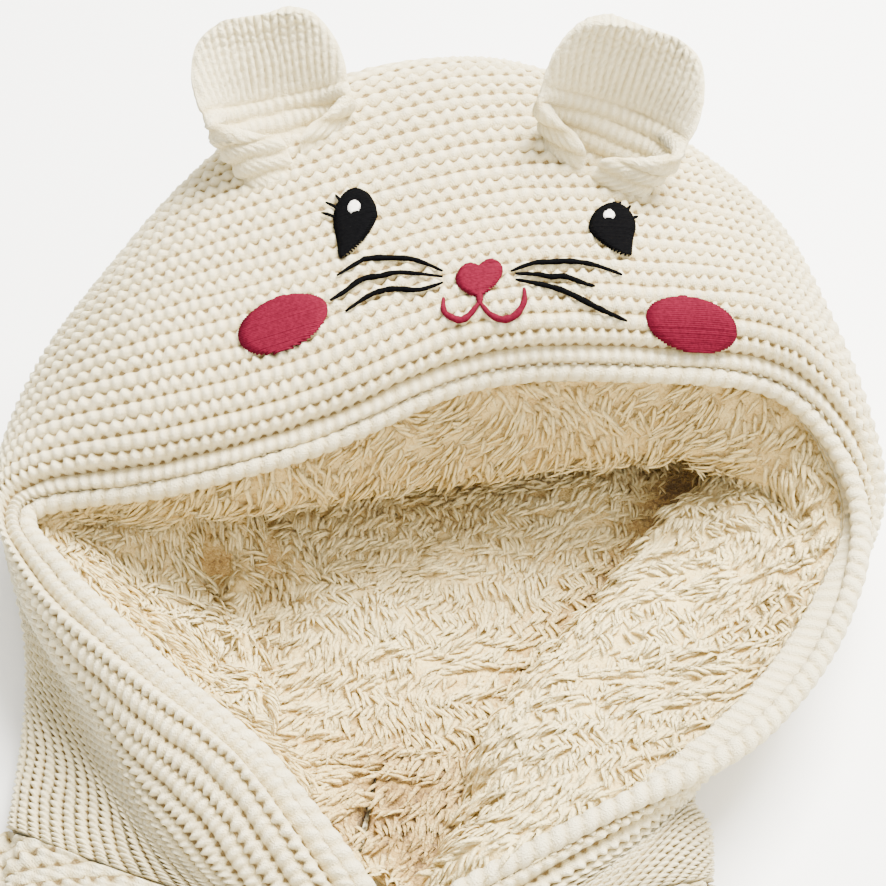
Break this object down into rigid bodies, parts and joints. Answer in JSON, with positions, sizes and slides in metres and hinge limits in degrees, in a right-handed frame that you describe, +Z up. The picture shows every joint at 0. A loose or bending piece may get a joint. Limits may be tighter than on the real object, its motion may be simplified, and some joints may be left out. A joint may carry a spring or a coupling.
{
  "type": "hooded knit vest for a baby",
  "caption": "Sleeveless cream knit vest with a sherpa-lined hood, small knitted ears, an embroidered animal face and a buttoned front, laid on its back with the hood open.",
  "frame": {"origin": "middle of the box's underside, on the surface that the vest lies on", "axes": "+X to the viewer's right, +Y from the hem to the crown of the hood, +Z up from the surface"},
  "size_m": [0.3306, 0.5932, 0.1246],
  "materials": {
    "cream_knit": "chunky purl-side knit in cream yarn, matt",
    "cream_sherpa": "long curly sherpa fleece",
    "black_thread": "dense satin-stitch embroidery",
    "pink_thread": "dense satin-stitch embroidery",
    "cream_button": "satin moulded plastic, four holes"
  },
  "bodies": {
    "root": {"hood_knit": "cream_knit", "hood_lining": "cream_sherpa", "hood_edging": "cream_knit", "ear_left": "cream_knit", "ear_right": "cream_knit", "eye_left": "black_thread", "eye_right": "black_thread", "cheek_left": "pink_thread", "cheek_right": "pink_thread", "nose": "pink_thread", "front_left": "cream_knit", "front_right": "cream_knit", "band_left": "cream_knit", "band_right": "cream_knit", "armhole_edging_left": "cream_knit", "armhole_edging_right": "cream_knit", "hem_edging": "cream_knit", "body_back": "cream_knit", "lining_back": "cream_sherpa", "button_1": "cream_button", "button_2": "cream_button", "button_3": "cream_button", "button_4": "cream_button"}
  },
  "joints": []
}
